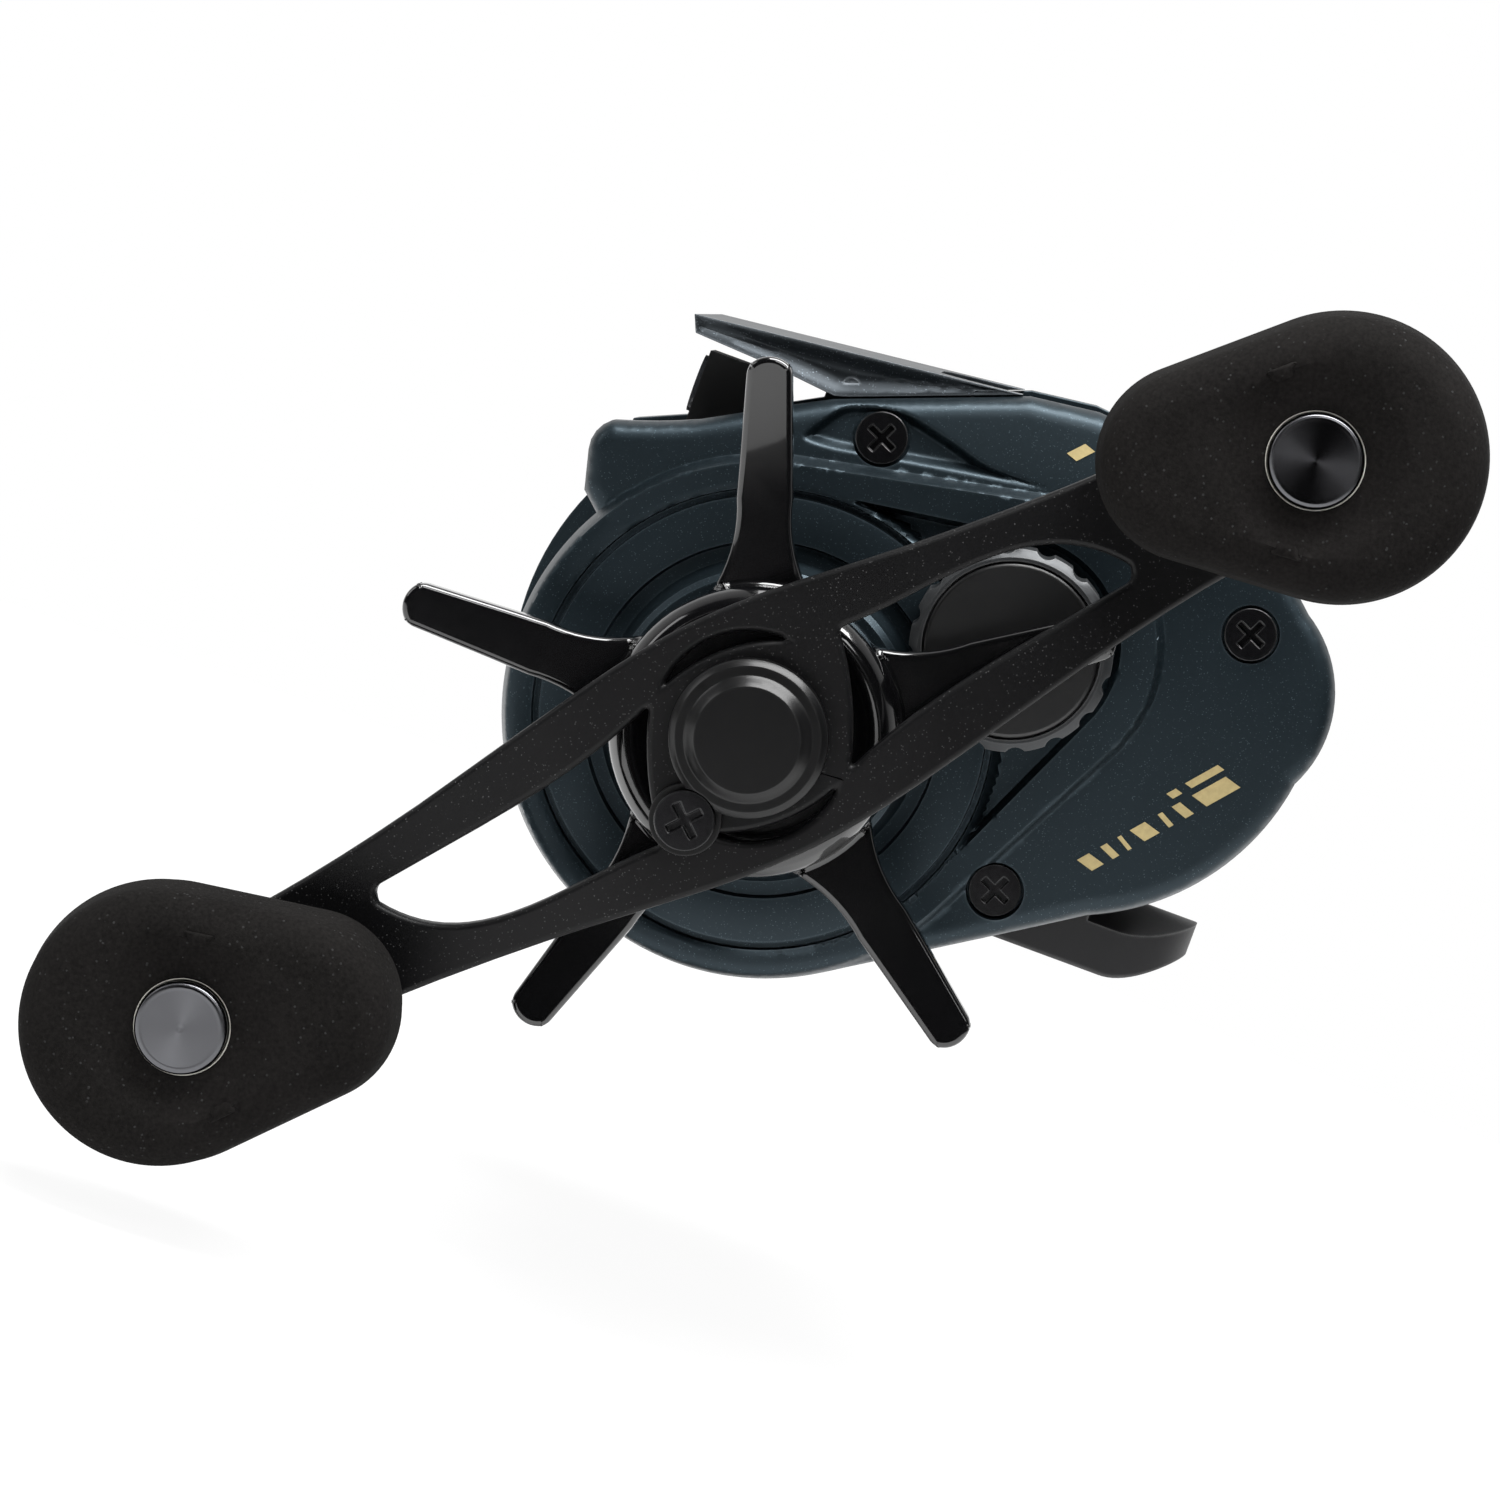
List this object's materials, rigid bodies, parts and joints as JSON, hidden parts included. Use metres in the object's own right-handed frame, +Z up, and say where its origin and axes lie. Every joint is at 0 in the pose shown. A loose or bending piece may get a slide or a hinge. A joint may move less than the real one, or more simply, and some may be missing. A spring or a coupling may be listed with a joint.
{
  "type": "baitcasting reel",
  "caption": "Low-profile baitcasting reel with a foot for a rod's reel seat, a spool, a level wind, a star drag and a double-knob handle on its left side.",
  "frame": {"origin": "on the axis of the rod seat, under the middle of the reel foot", "axes": "+X towards the rod tip along the seat's axis, +Y out of the handle side, +Z up"},
  "size_m": [0.0911, 0.0756, 0.0931],
  "materials": {
    "frame_metal": "satin black anodised",
    "foot_metal": "semi-gloss",
    "side_plate_paint": "satin blue-black",
    "hood_metal": "satin gunmetal",
    "black_screw": "black oxide",
    "steel": "ground",
    "brass": "machined",
    "magnet": "plated",
    "rubber_seal": "matt",
    "nylon": "matt",
    "carbon_drag": "woven",
    "handle_black": "fine texture satin",
    "star_gloss": "gloss black",
    "star_nut_brass": "machined",
    "foam": "matt foam",
    "cap_metal": "spun dark",
    "spool_metal": "gloss anodised",
    "bar_plastic": "satin",
    "cap_knurl": "satin dark",
    "cap_face": "gloss",
    "guide_plastic": "satin",
    "ceramic_ring": "polished"
  },
  "bodies": {
    "body": {"frame": "frame_metal", "reel_foot": "foot_metal", "foot_screws": "black_screw", "handle_side_plate": "side_plate_paint", "side_screws": "black_screw", "palm_side_plate": "side_plate_paint", "brake_dial_screw": "black_screw", "magnet_ring": "magnet", "front_hood": "hood_metal", "hood_screws": "black_screw", "yoke_posts": "steel", "yoke_springs": "steel", "spool_bearings": "steel", "pinion_bearing": "steel", "cap_seal": "rubber_seal", "drive_bearing": "steel", "roller_clutch": "steel", "handle_bearing": "steel", "worm_bushings": "nylon", "guide_rod": "steel"},
    "handle": {"drive_shaft": "steel", "main_gear": "brass", "drag_washers": "carbon_drag", "drag_plates": "steel", "clutch_sleeve": "steel", "spring_washers": "steel", "wind_gear": "nylon", "handle_arm": "handle_black", "handle_nut": "steel", "nut_cap": "handle_black", "retainer_screw": "black_screw", "knob_posts": "steel"},
    "star": {"star_drag": "star_gloss", "star_nut": "star_nut_brass"},
    "knob_1": {"knob_1_foam": "foam", "knob_1_core": "nylon", "knob_1_bushings": "nylon", "knob_1_cap": "cap_metal"},
    "knob_2": {"knob_2_foam": "foam", "knob_2_core": "nylon", "knob_2_bushings": "nylon", "knob_2_cap": "cap_metal"},
    "spool": {"spool": "spool_metal", "spool_shaft": "steel", "shaft_pin": "steel", "brake_rotor": "spool_metal"},
    "pinion": {"pinion_gear": "brass"},
    "yoke": {"yoke": "nylon"},
    "thumb_bar": {"thumb_bar": "bar_plastic", "clutch_slide": "nylon"},
    "cast_control": {"cast_control_cap": "cap_knurl", "cap_disc": "cap_face", "friction_disc": "carbon_drag"},
    "brake_dial": {"brake_dial": "bar_plastic"},
    "worm": {"worm_shaft": "steel", "worm_gear": "nylon"},
    "line_guide": {"line_guide": "guide_plastic", "line_guide_insert": "ceramic_ring", "pawl": "brass", "pawl_cap": "guide_plastic"}
  },
  "joints": [
    {"name": "handle_turn", "type": "hinge", "parent": "body", "child": "handle", "pos_m": [0.01059, 0.03, 0.01604], "axis": [0, 1, 0], "continuous": true},
    {"name": "star_turn", "type": "hinge", "parent": "handle", "child": "star", "pos_m": [0.01059, 0.032, 0.01604], "axis": [0, 1, 0], "range_deg": [-270, 270]},
    {"name": "knob_1_turn", "type": "hinge", "parent": "handle", "child": "knob_1", "pos_m": [-0.02192, 0.043, 0.05067], "axis": [0, 1, 0], "continuous": true},
    {"name": "knob_2_turn", "type": "hinge", "parent": "handle", "child": "knob_2", "pos_m": [0.04311, 0.043, -0.01858], "axis": [0, 1, 0], "continuous": true},
    {"name": "spool_turn", "type": "hinge", "parent": "body", "child": "spool", "pos_m": [-0.006, 0, 0.0285], "axis": [0, 1, 0], "continuous": true},
    {"name": "worm_turn", "type": "hinge", "parent": "body", "child": "worm", "pos_m": [0.02076, 0, 0.02734], "axis": [0, 1, 0], "continuous": true},
    {"name": "thumb_bar_press", "type": "slide", "parent": "body", "child": "thumb_bar", "axis": [0, 0, -1], "range_m": [0, 0.004]},
    {"name": "yoke_lift", "type": "slide", "parent": "body", "child": "yoke", "axis": [0, 1, 0], "range_m": [0, 0.0014], "deforming": ["yoke_springs"]},
    {"name": "pinion_lift", "type": "slide", "parent": "spool", "child": "pinion", "axis": [0, 1, 0], "range_m": [0, 0.0014]},
    {"name": "line_guide_travel", "type": "slide", "parent": "body", "child": "line_guide", "axis": [0, 1, 0], "range_m": [-0.0088, 0.0088]},
    {"name": "cast_control_turn", "type": "hinge", "parent": "body", "child": "cast_control", "pos_m": [-0.006, 0.025, 0.0285], "axis": [0, 1, 0], "range_deg": [-180, 180]},
    {"name": "brake_dial_turn", "type": "hinge", "parent": "body", "child": "brake_dial", "pos_m": [-0.006, -0.024, 0.0285], "axis": [0, 1, 0], "range_deg": [0, 270]}
  ],
  "couplings": [
    {"joint": "spool_turn", "follows": "handle_turn", "ratio": -7.3},
    {"joint": "worm_turn", "follows": "handle_turn", "ratio": -1.375},
    {"joint": "yoke_lift", "follows": "thumb_bar_press", "ratio": 0.35},
    {"joint": "pinion_lift", "follows": "thumb_bar_press", "ratio": 0.35}
  ]
}
